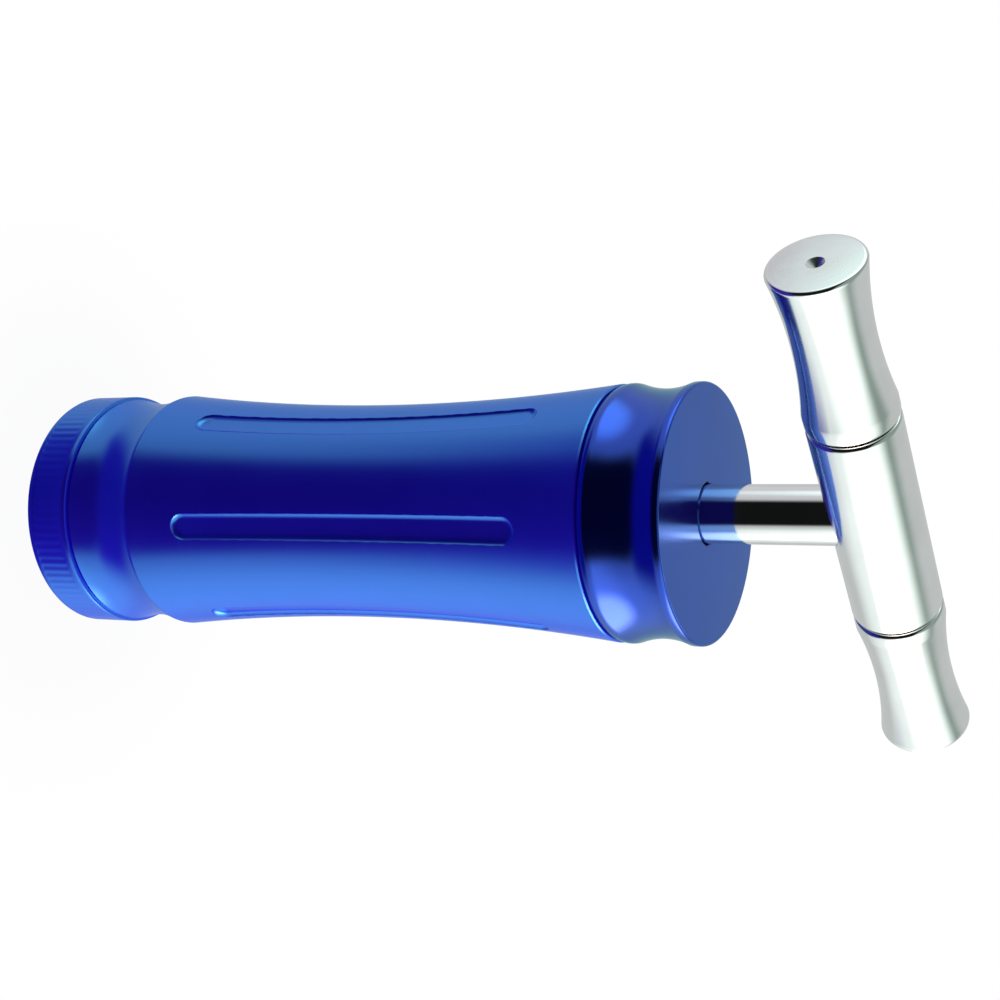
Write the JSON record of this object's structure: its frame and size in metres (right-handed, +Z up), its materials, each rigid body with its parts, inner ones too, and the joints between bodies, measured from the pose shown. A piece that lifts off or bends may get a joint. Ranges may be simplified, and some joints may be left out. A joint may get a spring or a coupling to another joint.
{
  "type": "t-handle screw press",
  "caption": "Hand screw press with a waisted, fluted anodised aluminium barrel, a knurled screw-on base, a scooped top cap and a chrome spindle with a T-shaped crossbar.",
  "frame": {"origin": "centre of the base's underside", "axes": "+Z up the axis of the barrel and spindle, X along the crossbar in the stored pose"},
  "size_m": [0.084, 0.0384, 0.1426],
  "materials": {
    "blue_anodised": "satin deep-blue anodised, finely turned",
    "polished_chrome": "polished chrome plate",
    "ground_steel": "turned and ground stainless steel",
    "bronze": "turned bearing bronze",
    "black_rubber": "matte O-ring rubber",
    "white_washer": "plain white PTFE sheet"
  },
  "bodies": {
    "barrel": {"barrel": "blue_anodised"},
    "lower_slug": {"lower_slug": "ground_steel"},
    "base_cap": {"base_cap": "blue_anodised", "base_seal": "black_rubber"},
    "cap_washer": {"cap_washer": "white_washer"},
    "top_cap": {"top_cap": "blue_anodised", "cap_seal": "black_rubber", "spindle_wiper": "black_rubber", "spindle_nut": "bronze", "nut_pin": "ground_steel", "nut_circlip": "ground_steel"},
    "piston": {"upper_piston": "ground_steel", "piston_snap_ring": "ground_steel"},
    "spindle": {"spindle": "polished_chrome", "stop_washer": "bronze", "thrust_ball": "ground_steel", "hub": "polished_chrome", "crossbar_rod": "ground_steel", "grip_left": "polished_chrome", "grip_right": "polished_chrome"}
  },
  "joints": [
    {"name": "slug_drop", "type": "slide", "parent": "barrel", "child": "lower_slug", "axis": [0, 0, -1], "range_m": [0, 0.0075]},
    {"name": "base_unscrew", "type": "hinge", "parent": "lower_slug", "child": "base_cap", "pos_m": [0, 0, 0.004], "axis": [0, 0, -1], "range_deg": [0, 1800]},
    {"name": "cap_lift", "type": "slide", "parent": "barrel", "child": "cap_washer", "axis": [0, 0, 1], "range_m": [0, 0.0075]},
    {"name": "cap_unscrew", "type": "hinge", "parent": "cap_washer", "child": "top_cap", "pos_m": [0, 0, 0.105], "axis": [0, 0, 1], "range_deg": [0, 1800]},
    {"name": "piston_feed", "type": "slide", "parent": "top_cap", "child": "piston", "axis": [0, 0, -1], "range_m": [0, 0.017]},
    {"name": "handle_turn", "type": "hinge", "parent": "piston", "child": "spindle", "pos_m": [0, 0, 0.13605], "axis": [0, 0, -1], "range_deg": [0, 2040]}
  ],
  "couplings": [
    {"joint": "slug_drop", "follows": "base_unscrew", "m_per_rad": 0.00023873},
    {"joint": "cap_lift", "follows": "cap_unscrew", "m_per_rad": 0.00023873},
    {"joint": "piston_feed", "follows": "handle_turn", "m_per_rad": 0.00047746}
  ]
}
